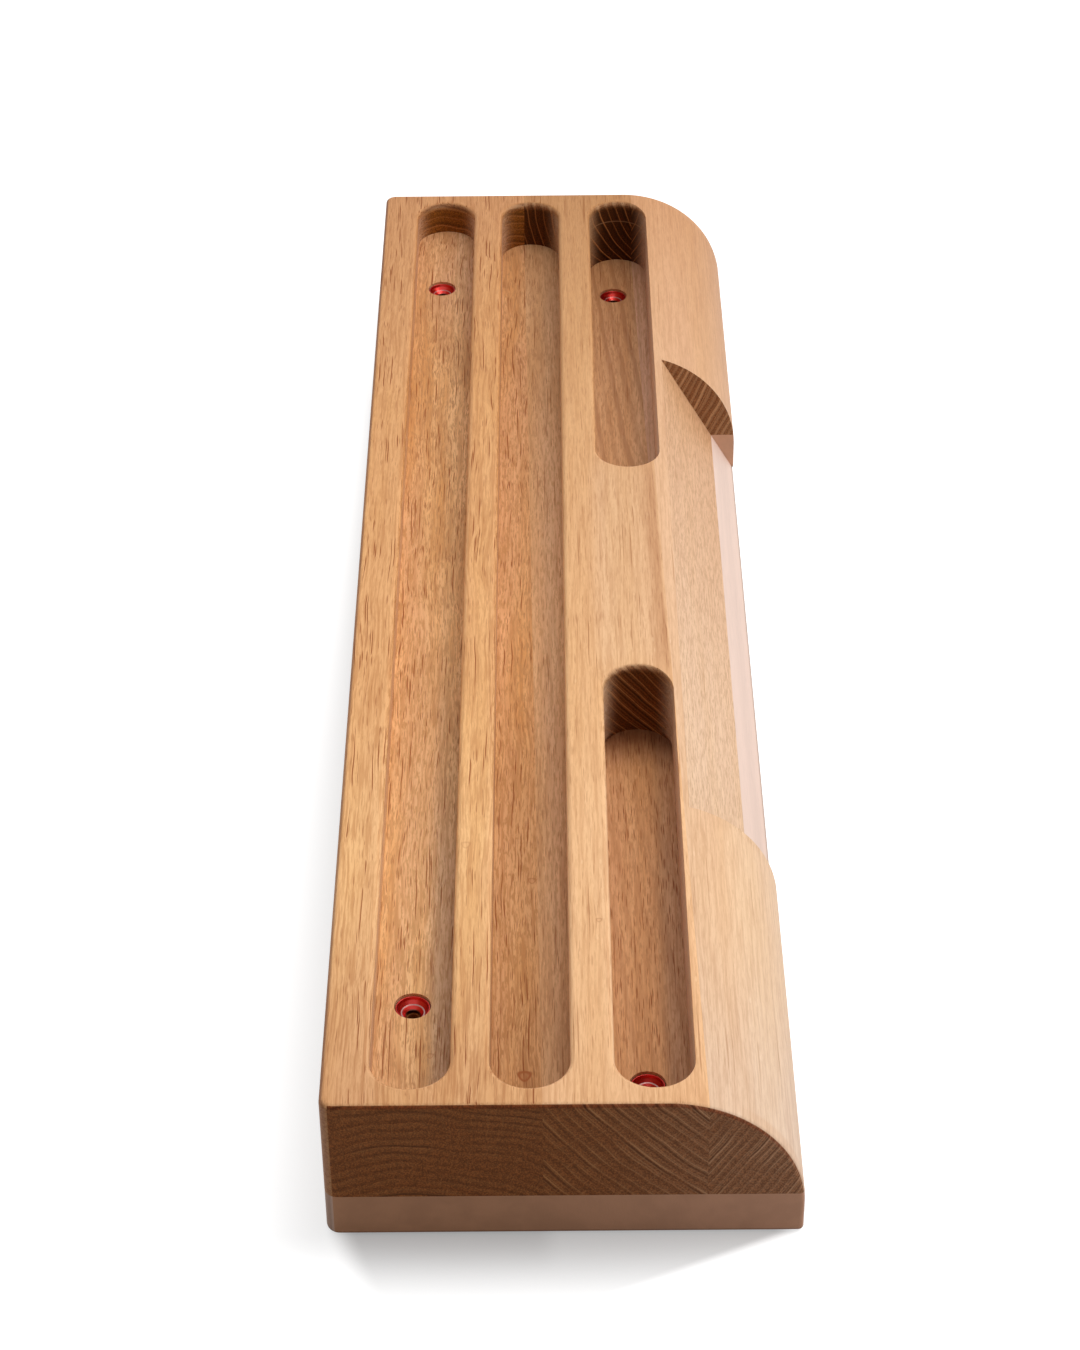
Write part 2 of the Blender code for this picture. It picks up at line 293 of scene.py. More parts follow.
class HangboardHolds(bpy.types.PropertyGroup):
    """The routed slots and pockets."""
    width: distance("Width", "Width of every slot and pocket", 0.025)
    end_wall: distance("End wall", "Wood left between a groove and the board's end", 0.0085)
    rim: distance("Rim", "Round of the grooves' rims", 0.0018)
    lower_y: distance("Shallow slot place", "Middle of the shallow slot", -0.0477)
    lower_depth: distance("Shallow slot depth", "Depth of the shallow slot", 0.014)
    middle_y: distance("Deep slot place", "Middle of the deeper slot", -0.0105)
    middle_depth: distance("Deep slot depth", "Depth of the deeper slot", 0.021)
    pocket_y: distance("Pocket place", "Middle of the two pockets", 0.0282)
    pocket_depth: distance("Pocket depth", "Depth of the two pockets", 0.029)
    pocket_end: distance("Pocket inner end", "From the board's middle to a pocket", 0.066)


class HangboardWashers(bpy.types.PropertyGroup):
    """The turned cup washers and the screw holes below them."""
    radius: distance("Radius", "Outer radius of the lip", 0.00565)
    height: distance("Height", "Height of a washer", 0.0042)
    flange: distance("Flange", "Height of the lip's outer wall", 0.0010)
    foot: distance("Foot radius", "Radius of the foot", 0.0040)
    lip: distance("Lip", "Width of the flat lip", 0.00045)
    lip_round: distance("Lip round", "Round of the lip's edges", 0.00018)
    step_depth: distance("Step depth", "Depth of the bright step", 0.0021)
    step_radius: distance("Step radius", "Outer radius of the bright step", 0.0039)
    step_width: distance("Step width", "Width of the bright step", 0.0004)
    seat_depth: distance("Seat depth", "Depth of the cone's foot", 0.0032)
    bore: distance("Bore radius", "Radius of the bore", 0.00225)
    gap: distance("Seat gap", "Gap between a washer and its seat", 0.0003)
    screw_hole: distance("Screw hole radius", "Radius of the hole through the wood", 0.0019)


class HangboardColours(bpy.types.PropertyGroup):
    """The colours of the wood and of the washers."""
    bottom_oak: colour("Bottom stave", "Face of the bottom oak stave", (0.90, 0.495, 0.208))
    middle_oak: colour("Middle stave", "Face of the middle oak stave", (0.92, 0.545, 0.270))
    top_oak: colour("Top stave", "Face of the top oak stave", (0.89, 0.590, 0.370))
    grain: colour("Grain", "Pores and fine grain lines of the oak", (0.38, 0.120, 0.036))
    end_grain: colour("End grain", "Dark end grain of the oak", (0.20, 0.072, 0.026))
    end_rings: colour("End rings", "Pale growth rings in the oak's end grain", (0.40, 0.20, 0.095))
    base_face: colour("Base board face", "Long faces of the base board", (0.88, 0.655, 0.550))
    base_end: colour("Base board end", "End grain of the base board", (0.50, 0.27, 0.165))
    red: colour("Red", "Anodised washers", (0.56, 0.026, 0.018))
    bare: colour("Bright step", "Turned step of the washers", (0.38, 0.22, 0.20))


class HangboardStage(bpy.types.PropertyGroup):
    """The floor, the light and the camera."""
    floor: colour("Floor", "Pale floor", (0.45, 0.45, 0.45))
    glow: amount("Floor glow", "How white the open floor looks", 0.85)
    shadow_glow: amount("Shadow glow", "How white the floor looks beside the near end", 0.36)
    shadow_reach: distance("Shadow reach", "How far the near end's shadow reaches", 0.0400)
    shadow_left: amount("Shadow left lean", "Slope of the shadow's left side", 0.38)
    shadow_right: amount("Shadow right lean", "Slope of the shadow's right side", 2.2)
    shadow_fade: distance("Shadow fade", "Width over which the near end's shadow fades at its sides", 0.010)
    side_shade: amount("Side shade", "Shade of the floor beside the lower side", 0.34)
    sky: amount("Sky", "Strength of the even light", 0.50)
    sky_lean: amount("Sky lean", "How much brighter the far side's light is", 0.32)
    softbox: amount("Softbox", "Power of the softbox", 12.0, unit="POWER")
    camera_place: FloatVectorProperty(name="Camera", description="Where the camera stands",
                                      default=(0.981895, -0.002901, 0.738813), subtype="TRANSLATION",
                                      unit="LENGTH", size=3)
    camera_pitch: angle("Pitch", "How far the camera looks down", 36.861)
    camera_yaw: angle("Yaw", "How far the camera looks towards the jugs", -0.251)
    camera_roll: angle("Roll", "How far the camera leans", 0.634)
    lens: amount("Lens", "Focal length over the frame's long side", 84.68, unit="CAMERA")


GROUPS = {
    "hangboard_shape": HangboardShape,
    "hangboard_holds": HangboardHolds,
    "hangboard_washers": HangboardWashers,
    "hangboard_colours": HangboardColours,
    "hangboard_stage": HangboardStage,
}


def math_operator(operation):
    """An operator of Number and its reflected form, which add a Math node."""
    return (lambda number, other: number.maker.maths(operation, number, other),
            lambda number, other: number.maker.maths(operation, other, number))


class Number:
    """A number in a node tree. Arithmetic with it adds Math nodes."""
    __add__, __radd__ = math_operator("ADD")
    __sub__, __rsub__ = math_operator("SUBTRACT")
    __mul__, __rmul__ = math_operator("MULTIPLY")
    __truediv__, __rtruediv__ = math_operator("DIVIDE")
    __pow__, __rpow__ = math_operator("POWER")

    def __init__(self, maker, socket):
        self.maker = maker
        self.socket = socket

    def __abs__(self):
        return self.maker.maths("ABSOLUTE", self)

    def rise(self, low, high):
        """0 below low, 1 above high and a smooth ramp between them."""
        node = self.maker.node("ShaderNodeMapRange", {"interpolation_type": "SMOOTHSTEP"},
                               {"Value": self, "From Min": low, "From Max": high})
        return Number(self.maker, node.outputs[0])

    def fall(self, low, high):
        """1 below low and 0 above high."""
        return 1 - self.rise(low, high)

    def hump(self, start, full, falling, gone):
        """0 up to start, 1 from full to falling, and 0 again from where it is gone."""
        return self.rise(start, full) * self.fall(falling, gone)

    def larger(self, other):
        return self.maker.maths("MAXIMUM", self, other)

    def mix(self, first, second):
        """The first colour where the number is 0, and the second where it is 1."""
        return self.maker.mixed(self, first, second)

    def tone(self, factors):
        """What a colour is multiplied by: nothing where the number is 0, and the factors where it is 1."""
        return self.mix((1, 1, 1), factors)


class Maker:
    """Adds nodes to one tree, with their settings set before their sockets."""

    def __init__(self, tree):
        self.tree = tree

    def node(self, kind, settings=None, inputs=None):
        node = self.tree.nodes.new(kind)
        for name, value in (settings or {}).items():
            setattr(node, name, value)
        for name, value in (inputs or {}).items():
            source = value.socket if isinstance(value, Number) else value
            if isinstance(source, bpy.types.NodeSocket):
                self.tree.links.new(source, node.inputs[name])
            else:
                node.inputs[name].default_value = source
        return node

    def maths(self, operation, *values):
        node = self.node("ShaderNodeMath", {"operation": operation}, dict(enumerate(values)))
        return Number(self, node.outputs[0])

    def vector_maths(self, operation, *values):
        return self.node("ShaderNodeVectorMath", {"operation": operation}, dict(enumerate(values))).outputs

    def scaled(self, vector, factors):
        """Each part of a vector or colour times its factor."""
        return self.vector_maths("MULTIPLY", vector, factors)[0]

    def moved(self, vector, step):
        return self.vector_maths("ADD", vector, step)[0]

    def length(self, vector):
        return Number(self, self.vector_maths("LENGTH", vector)["Value"])

    def parts(self, vector):
        node = self.node("ShaderNodeSeparateXYZ", inputs={0: vector})
        return [Number(self, socket) for socket in node.outputs]

    def vector(self, *values):
        return self.node("ShaderNodeCombineXYZ", inputs=dict(enumerate(values))).outputs[0]

    def mixed(self, share, first, second):
        first, second = [value if isinstance(value, bpy.types.NodeSocket) else (*value, 1.0)
                         for value in (first, second)]
        return self.node("ShaderNodeMix", {"data_type": "RGBA"}, {0: share, 6: first, 7: second}).outputs[2]

    def layered(self, surface, *layers):
        """A colour under layers of (share, colour), each of which lies over the ones before it."""
        for share, layer in layers:
            surface = self.mixed(share, surface, layer)
        return surface

    def noise(self, vector, scale, detail=2.0, roughness=0.5):
        return self.node("ShaderNodeTexNoise", None, {"Vector": self.scaled(vector, scale), "Scale": 1.0,
                                                      "Detail": detail, "Roughness": roughness}).outputs

    def noise_value(self, *settings):
        return Number(self, self.noise(*settings)["Fac"])

    def wandering(self, vector, along, scale, reach):
        """A vector moved across the grain by noise along another one, up to half the reach each way."""
        noise = self.moved(self.noise(along, scale)["Color"], (-0.5, -0.5, -0.5))
        return self.moved(vector, self.scaled(noise, (0, reach, reach)))

    def pores(self, vector, scale, share, more=0.0):
        """1 inside long cells of the grain, of which a share shows, and more of them where more is high."""
        cells = self.node("ShaderNodeTexVoronoi", None, {"Vector": self.scaled(vector, scale), "Scale": 1.0})
        shown = (self.parts(cells.outputs["Color"])[0] + more).rise(0.95 - share, 1.05 - share)
        return shown * Number(self, cells.outputs["Distance"]).fall(0.16, 0.29)

    def numbers(self, sockets, labels):
        return [Number(self, sockets[label]) for label in labels]

    def geometry(self, kind, inputs=None, **settings):
        """The first output of a new geometry node."""
        return self.node("GeometryNode" + kind, settings, inputs).outputs[0]


def tint(colour_value, *factors):
    """A colour made lighter or darker, by one factor or by one for each channel."""
    if len(factors) == 1:
        factors = factors * 3
    return tuple(min(1.0, channel * factor) for channel, factor in zip(colour_value, factors))


def start_nodes(owner):
    """The maker of a material's or world's nodes, of which it has none yet."""
    owner.use_nodes = True
    owner.node_tree.nodes.clear()
    return Maker(owner.node_tree)


def new_material(name):
    material = bpy.data.materials.new(name)
    return material, start_nodes(material)


def finish_material(maker, base_color, roughness, height, height_scale, **constants):
    """The surface shader, with a bump from the height."""
    bump = maker.node("ShaderNodeBump", None, {"Strength": 1.0, "Distance": height_scale, "Height": height})
    inputs = {"Base Color": base_color, "Roughness": roughness, "Normal": bump.outputs[0]}
    inputs.update({name.replace("_", " "): value for name, value in constants.items()})
    shader = maker.node("ShaderNodeBsdfPrincipled", None, inputs)
    maker.node("ShaderNodeOutputMaterial", None, {"Surface": shader.outputs[0]})


def board_site(maker, shape, holds):
    """Where a point of the board lies and faces, and masks that are 1 between the board's outer ends, down
    in the grooves, in the two pockets and on the pockets' floors."""
    coordinates = maker.node("ShaderNodeTexCoord").outputs
    site = SimpleNamespace(place=coordinates["Object"])
    site.x, site.y, site.z = maker.parts(site.place)
    site.along, site.across, site.up = maker.parts(coordinates["Normal"])
    half = holds.width / 2
    low, high = holds.lower_y - half, holds.pocket_y + half
    middle, reach = (low + high) / 2, (high - low) / 2
    pocket_side = holds.pocket_y - half
    pocket_floor = shape.thickness - holds.pocket_depth
    outer = shape.length / 2 - holds.end_wall
    below_rim = site.z.fall(shape.thickness - 0.004, shape.thickness - 0.001)
    site.inside = abs(site.x).fall(outer + 0.002, outer + 0.004)
    site.grooves = site.inside * abs(site.y - middle).fall(reach, reach + 0.001) * below_rim
    site.pockets = site.grooves * site.y.rise(pocket_side - 0.003, pocket_side - 0.001)
    site.on_floor = site.pockets * site.z.fall(pocket_floor + 0.0005, pocket_floor + 0.002)
    return site


def outer_side(site):
    """1 where the board's lower side and the round of its edges turn away from the light; painted shade is
    laid there.
    """
    return site.across.fall(-0.65, -0.25) * site.y.fall(CAD_LOW.y + 0.005, CAD_LOW.y + 0.009)


def end_share(site):
    """1 on what faces along the board: the outer ends show a sharp edge, and the holds' rims a soft one."""
    corner = site.across.fall(-0.40, -0.25) * (1 - site.inside)
    low = 0.50 + corner * 0.34 - site.inside * 0.35
    return abs(site.along).rise(low, low + 0.16 + site.inside * 0.59)


def knots(maker, place, marks):
    """Small knots in a long face: dark egg-shaped loops, which point to the near end."""
    dark = 0.0
    for x, y, size, strength in marks:
        off_centre = maker.moved(place, (-x, -y, 0))
        along, across = maker.parts(maker.scaled(off_centre, (0.85 / size, 1 / size, 0)))[:2]
        away = maker.length(maker.vector(along, across * (1 + along * 0.45), 0))
        loop = (away.rise(0.45, 0.80) * 0.75 + 0.25) * away.fall(0.90, 1.20) * strength
        dark = loop.larger(dark)
    return dark


def washer_distance(maker, place, row):
    """How far a point is from the nearest washer's axis, among the washers of one row."""
    nearest = 1.0
    for name, washer in WASHERS.items():
        if name.startswith(row):
            away = maker.scaled(maker.moved(place, (-washer.x, -washer.y, 0)), (1, 1, 0))
            nearest = maker.maths("MINIMUM", maker.length(away), nearest)
    return nearest


def growth_rings(maker, cut, site, pith_y, pith_z):
    """Rings round a pith: the turn and the distance round it, that distance in rings, how far into its ring
    a point lies and how strongly that ring grew."""
    bent_y, bent_z = maker.parts(site.bent)[1:]
    out_y, out_z = bent_y - pith_y, bent_z - pith_z
    turn = maker.maths("ARCTAN2", out_y, out_z)
    radius = maker.length(maker.vector(0, out_y, out_z))
    rings = radius / cut.ring + maker.noise_value(site.point, RING_SHIFT_SCALE) * 0.8
    ring = maker.maths("FLOOR", rings)
    drawn = maker.node("ShaderNodeTexWhiteNoise", {"noise_dimensions": "1D"}, {"W": ring + cut.start})
    return turn, radius, rings, rings - ring, Number(maker, drawn.outputs["Value"])


def stave_site(maker, cut, shape, holds):
    """Where a point of a stave lies, also bent with the grain, with its early wood, which holds most pores,
    its long and short pores and its fibres."""
    site = board_site(maker, shape, holds)
    site.point = maker.moved(site.place, (cut.start, 0, 0))
    site.bent = maker.wandering(site.point, site.point, (8, 30, 30), cut.wave)
    site.bent = maker.wandering(site.bent, site.point, (26, 30, 30), cut.wave * 0.8)
    site.calmer = maker.scaled(maker.moved(site.bent, site.point), (0.5, 0.5, 0.5))
    site.slots = site.grooves - site.pockets
    site.nearer = site.x.rise(-0.01, 0.01)
    site.far_share = (CAD_HIGH.x - site.x) / (CAD_HIGH.x - CAD_LOW.x)
    site.sloper = site.across.rise(0.5, 0.7) * site.inside * (1 - site.grooves)
    site.pith = [site.x * lean + pith for pith, lean in zip(cut.pith, cut.lean)]
    phase, vigour = growth_rings(maker, cut, site, *site.pith)[3:]
    site.early = phase.hump(0.05, 0.15, 0.30, 0.65) * (0.35 + vigour * 0.65)
    site.dashes = maker.pores(site.calmer, DASH_SCALE, cut.dashes[0], site.early * 0.45 + site.slots * 0.18)
    site.ticks = maker.pores(site.calmer, TICK_SCALE, cut.ticks[0],
                             site.early * 0.60 + site.on_floor * site.nearer * 0.35 + site.slots * 0.20)
    site.fibres = maker.noise_value(site.calmer, FIBRE_SCALE, 3.0, 0.65)
    return site


def oak_long_face(maker, cut, site, face, grain):
    """The long faces' own colours: bands, streaks, fine lines, dots, pores and flecks."""
    bands = maker.noise_value(site.bent, BAND_SCALE, 3.0, 0.6).rise(0.34, 0.66)
    patches = maker.noise_value(site.bent, PATCH_SCALE, 1.0).rise(0.40, 0.62)
    specks = maker.noise_value(site.calmer, SPECK_SCALE, 2.0, 0.7).rise(0.46, 0.62)
    flecks = maker.pores(site.bent, FLECK_SCALE, cut.flecks)
    jug = abs(site.x).rise(0.142, 0.150)
    detail = 1 + site.grooves * 1.3 + site.sloper * (1 - jug) * 2.1
    clearer = site.grooves * 0.55 + 0.45
    streaks = site.early * (site.on_floor * (0.45 - site.nearer * 0.25) + cut.streaks)
    fibres = site.fibres.rise(0.42, 0.64) * (cut.fibres * (1.12 - site.far_share * 0.36))
    tick_share = site.on_floor * site.nearer * 0.50 + site.slots * 0.20 + cut.ticks[1]

    figure = bands.mix(maker.scaled(face, PALE_BAND), maker.scaled(face, ORANGE_BAND))
    figure = (patches * 0.8).mix(figure, maker.scaled(face, PINK_BAND))
    return maker.layered(face, (clearer * cut.figure, figure), (streaks * clearer, tint(face, *STREAK)),
                         (fibres, tint(face, *FIBRE)), (specks * cut.specks * detail, tint(face, *SPECK)),
                         (site.ticks * tick_share, grain), (flecks * 0.45, tint(face, *FLECK)),
                         (site.dashes * cut.dashes[1], grain))


def long_face_tones(maker, cut, site, holds):
    """How the long faces' tone changes along the board, in its holds and on its sloper, with painted shade
    in the holds and on the lower side, and partly painted sheen on the sloper.
    """
    x, y = site.x, site.y
    middle = abs(x).fall(0.055, 0.085)
    joint = y - UPPER_JOINT[0] - (1 - site.far_share) * (UPPER_JOINT[1] - UPPER_JOINT[0])
    streak = joint.hump(-0.0080, -0.0022, -0.0014, 0.0) * middle * site.z.rise(0.045, 0.050)
    deep = site.slots * y.rise(holds.middle_y - 0.020, holds.middle_y - 0.016) * x.rise(0.02, 0.16)
    hold_step = (holds.pocket_y - holds.lower_y) / 2
    across_hold = maker.maths("FRACT", (y - holds.lower_y) / hold_step + 0.5) - 0.5
    shaded = across_hold.rise(0.05, 0.20)
    # Painted shadow on the near pocket's floor under its inner end wall
    painted_wall_shadow = x.fall(holds.pocket_end + 0.003, holds.pocket_end + 0.028) * site.nearer
    pocket_floor = painted_wall_shadow.mix(site.nearer.mix(*POCKET_FLOOR), PAINTED_POCKET_SHADOW)
    groove_wall = abs(site.across).rise(0.3, 0.8) * site.grooves
    return reduce(maker.scaled, (
        x.rise(0.07, 0.17).tone(cut.middle),
        x.rise(0.18, CAD_HIGH.x).tone(cut.near),
        (site.far_share ** 2).tone(cut.far),
        (y.rise(0.010, 0.018) * middle).tone(cut.between),
        streak.tone(JOINT_STREAK),
        (site.slots * site.far_share.rise(0.80, 0.93)).tone(FAR_SLOT_END),
        # Painted shade in the near part of the deeper slot
        deep.tone(shaded.mix(*PAINTED_DEEP_SLOT_SHADE)),
        site.on_floor.mix(site.grooves.tone(x.rise(0.0, 0.15).mix(*GROOVE)), pocket_floor),
        outer_side(site).mix(groove_wall.tone(GROOVE_WALL), PAINTED_SIDE_SHADE),
        site.sloper.tone(x.rise(-0.10, 0.14).mix(*SLOPER_TONE_AND_SHEEN)),
        # Painted shade on the shaded side of every hold
        (site.grooves * shaded).tone(x.rise(-0.05, 0.20).mix(*SHADE))))


def end_face_tones(cut, site):
    """The end grain's tone on the board's outer ends, the jugs' inner ends and the holds' end walls, with
    painted light on the jugs' inner ends and on the outer ends' right side.
    """
    outer = (site.y.rise(CAD_LOW.y, CAD_HIGH.y) ** 4).mix(*OUTER_END_TONE_AND_PAINTED_LIGHT)
    hold = site.pockets.mix(site.grooves.mix(PAINTED_JUG_END_LIGHT, cut.slot_wall), site.nearer.mix(*POCKET_WALL))
    return site.inside.mix(outer, hold)


def oak_end_face(maker, cut, site, end_grain, end_rings):
    """The end grain: dark and speckled, with pale and dark ring lines, rays and open pores, and painted
    shade on the outer ends' top easing.
    """
    toward = site.x.rise(-0.10, 0.28)
    pith = [place + toward * (near - place) for place, near in zip(site.pith, cut.near_pith)]
    turn, radius, rings, phase, vigour = growth_rings(maker, cut, site, *pith)
    open_end = 1 - site.grooves
    near_wall = site.pockets * site.nearer
    jug = site.inside * open_end
    tone = end_face_tones(cut, site)
    line_colour = maker.scaled(end_rings, site.grooves.mix(tone, near_wall.mix(*POCKET_RINGS)))
    dark_colour = maker.scaled(tint(end_grain, 0.35), tone)
    speckle = maker.noise_value(site.point, END_SPECKLE_SCALE, 2.0, 0.8).rise(0.36, 0.60)
    rays = maker.noise_value(maker.vector(site.x, turn, radius), RAY_SCALE, 1.0).rise(0.60, 0.74)
    clear = maker.noise_value(site.point, CLEAR_RING_SCALE, 1.0).rise(0.38, 0.62)
    shown = site.inside.larger(0.35 + clear * 0.65)
    pale_line = phase.hump(0.0, 0.04, 0.08 + jug * 0.20, 0.20 + jug * 0.35) * (0.4 + vigour * 0.6)
    dark_line = phase.hump(0.20, 0.30, 0.38, 0.62) * (0.3 + vigour * 0.7)
    fine_line = maker.maths("FRACT", rings * 3 + vigour).hump(0.0, 0.2, 0.3, 0.6) * vigour
    late = phase.rise(0.45, 1.0)
    fine_share = open_end.larger(near_wall) * (cut.rings * 0.45)
    open_pores = site.dashes.larger(site.ticks * 0.8)
    routing_step = abs(site.z - ROUTING_STEP_Z).fall(0.0001, 0.0004) * site.pockets * (1 - site.nearer)

    plain = (speckle * 0.85).mix(tint(end_grain, 1.30), tint(end_grain, 0.45))
    surface = maker.layered(maker.scaled(plain, tone), (dark_line * shown * 0.85, dark_colour),
                            ((rays * 0.16 + late * shown * 0.12) * open_end, line_colour),
                            (fine_line * shown * fine_share, line_colour),
                            (pale_line * shown * site.inside.larger(cut.rings), line_colour),
                            (open_pores * 0.6, dark_colour), (routing_step * 0.5, end_rings))
    # Painted shade on the outer ends' top easing
    eased = site.up.rise(0.15, 0.40) * (1 - site.inside)
    return maker.scaled(surface, eased.tone(PAINTED_EDGE_SHADE))


def oak_material(name, colours, face, cut, shape, holds):
    """Oak in the solid: growth rings round a leaning pith, rays out from it and pores along the grain. The
    ends show it dark, with pale ring lines, and the long faces show it as bands, dashes and fine fibres."""
    material, maker = new_material(name)
    site = stave_site(maker, cut, shape, holds)
    grain = tuple(colours.grain)
    long_face = maker.scaled(oak_long_face(maker, cut, site, face, grain),
                             long_face_tones(maker, cut, site, holds))
    long_face = maker.mixed(knots(maker, site.place, cut.knots), long_face, grain)
    end_face = oak_end_face(maker, cut, site, tuple(colours.end_grain), tuple(colours.end_rings))
    nearest = washer_distance(maker, site.place, cut.washers)
    end = end_share(site) * nearest.rise(SEAT_WALL, SEAT_WALL + SEAT_FADE)
    # Painted shade on the wood in the screw hole under each washer
    hole_shade = nearest.fall(SEAT_REACH, SEAT_REACH + SEAT_FADE).tone(PAINTED_HOLE_SHADE)
    surface = maker.scaled(end.mix(long_face, end_face), hole_shade)
    roughness = 0.50 + site.dashes * 0.25 + end * 0.15
    height = site.fibres * 0.25 - site.dashes - site.ticks * 0.4
    finish_material(maker, surface, roughness, height, WOOD_BUMP, Specular_IOR_Level=WOOD_SHINE)
    return material


def base_material(name, colours, shape, holds):
    """Pale hardwood of the base board: fine even grain, a darker, plain end and painted shade along its
    foot.
    """
    material, maker = new_material(name)
    site = board_site(maker, shape, holds)
    face, end_colour = tuple(colours.base_face), tuple(colours.base_end)
    bent = maker.wandering(site.place, site.place, BASE_WANDER_SCALE, 0.02)
    bands = maker.noise_value(bent, BASE_BAND_SCALE, 3.0)
    fibres = maker.noise_value(bent, BASE_FIBRE_SCALE, 2.0, 0.6)
    long_face = maker.layered(face, (bands.rise(0.35, 0.70), tint(face, 0.90)),
                              (fibres.rise(0.45, 0.80) * 0.25, tint(face, 0.72)))
    long_face = maker.scaled(long_face, outer_side(site).tone(PAINTED_BASE_SIDE_SHADE))
    # Painted light towards the right of the base board's outer ends
    outer = (site.y.rise(CAD_LOW.y, CAD_HIGH.y) ** 2).mix(*BASE_OUTER_END_TONE_AND_PAINTED_LIGHT)
    end_face = maker.scaled(bands.rise(0.30, 0.70).mix(end_colour, tint(end_colour, 0.9)),
                            site.inside.mix(outer, PAINTED_BASE_JUG_END_LIGHT))
    end = end_share(site)
    surface = maker.scaled(end.mix(long_face, end_face), site.z.fall(0.0007, 0.0020).tone(PAINTED_FOOT_SHADE))
    finish_material(maker, surface, 0.5 + end * 0.1, fibres, WOOD_BUMP, Specular_IOR_Level=WOOD_SHINE)
    return material


def washer_material(name, colours, sizes):
    """Red anodised metal with a bare turned step and painted shade in the bore, in each washer's own
    coordinates.
    """
    material, maker = new_material(name)
    turned = maker.node("ShaderNodeAttribute", {"attribute_name": "turned"}).outputs["Vector"]
    depth = maker.parts(turned)[2]
    radius = maker.length(maker.scaled(turned, (1, 1, 0)))
    inner, outer = sizes.step_radius - sizes.step_width, sizes.step_radius
    step = (radius.hump(inner - WASHER_EDGE, inner, outer, outer + WASHER_EDGE)
            * depth.fall(0.0002 - sizes.step_depth, 0.0004 - sizes.step_depth))
    marks = maker.noise_value(maker.vector(radius, depth, 0), TURNING_SCALE)
    in_bore = radius.fall(sizes.bore + WASHER_EDGE, sizes.bore + 0.0004)
    surface = maker.layered(tint(colours.red, 0.85), (marks, tuple(colours.red)),
                            (step, tuple(colours.bare)), (in_bore, PAINTED_BORE_SHADE))
    finish_material(maker, surface, 0.28 + marks * 0.12, marks, TURNING_BUMP, Metallic=1.0, Coat_Weight=0.5,
                    Coat_Roughness=0.20, Coat_IOR=1.5)
    return material


def geometry_tree(name, **labels):
    """A geometry tree whose inputs have labels of each kind, and a Finish: the tree, the maker of its nodes
    and the inputs' sockets."""
    tree = bpy.data.node_groups.new(name, "GeometryNodeTree")
    tree.interface.new_socket("Geometry", in_out="OUTPUT", socket_type="NodeSocketGeometry")
    for kind, names in {**labels, "Material": ["Finish"]}.items():
        for label in names:
            tree.interface.new_socket(label, in_out="INPUT", socket_type="NodeSocket" + kind)
    maker = Maker(tree)
    return tree, maker, maker.node("NodeGroupInput").outputs


def end_tree(maker, geometry, material):
    """Smooth shading but for the sharp edges, real geometry and the material, and then the tree's output."""
    soft = maker.maths("LESS_THAN", Number(maker, maker.geometry("InputMeshEdgeAngle")), SHARP_ANGLE)
    faces = maker.geometry("SetShadeSmooth", {"Geometry": geometry}, domain="FACE")
    edges = maker.geometry("SetShadeSmooth", {"Geometry": faces, "Shade Smooth": soft}, domain="EDGE")
    real = maker.geometry("RealizeInstances", {"Geometry": edges})
    painted = maker.geometry("SetMaterial", {"Geometry": real, "Material": material})
    maker.node("NodeGroupOutput", None, {0: painted})


def groove_tree():
    """A groove's cutter: a block with round ends, which flares over the rounded rim and out past the front.
    Its first ring is the floor's edge, the next ones follow the rim's round, the last but one leaves the
    front at the round's last slope, and the last stands clear of the board."""
    tree, maker, given = geometry_tree("groove_cutter", Float=GROOVE_LABELS)
    left, right, place, width, floor, front, rim = maker.numbers(given, GROOVE_LABELS)
    rings = RIM_STEPS + 3
    block = maker.geometry("MeshCylinder", {"Vertices": GROOVE_STEPS, "Side Segments": rings, "Radius": 1.0,
                                            "Depth": 2.0}, fill_type="NGON")
    turned = maker.geometry("Transform", {"Geometry": block, "Rotation": (0, 0, pi / GROOVE_STEPS)})
    x, y, z = maker.parts(maker.geometry("InputPosition"))
    ring = maker.maths("ROUND", (z + 1) * (rings / 2))
    share = maker.maths("MINIMUM", ((ring - 1) / RIM_STEPS).larger(0), 1)
    sine, cosine = [maker.maths(name, share * LAST_TANGENT) for name in ("SINE", "COSINE")]
    wall, leaving, above = [maker.maths("GREATER_THAN", ring, last + 0.5)
                            for last in (0, rings - 2, rings - 1)]
    rim_height = front - rim * (1 - sine) + leaving * (LEAVING_RUN * cos(LAST_TANGENT))
    height = floor + wall * (rim_height - floor) + above * CLEAR
    radius = width / 2 + rim * (1 - cosine) + leaving * (LEAVING_RUN * sin(LAST_TANGENT))
    straight = (right - left - width) / 2
    new_x = (left + right) / 2 + maker.maths("SIGN", x) * straight + x * radius
    position = maker.vector(new_x, place + y * radius, height)
    moved = maker.geometry("SetPosition", {"Geometry": turned, "Position": position})
    end_tree(maker, moved, given["Finish"])
    return tree


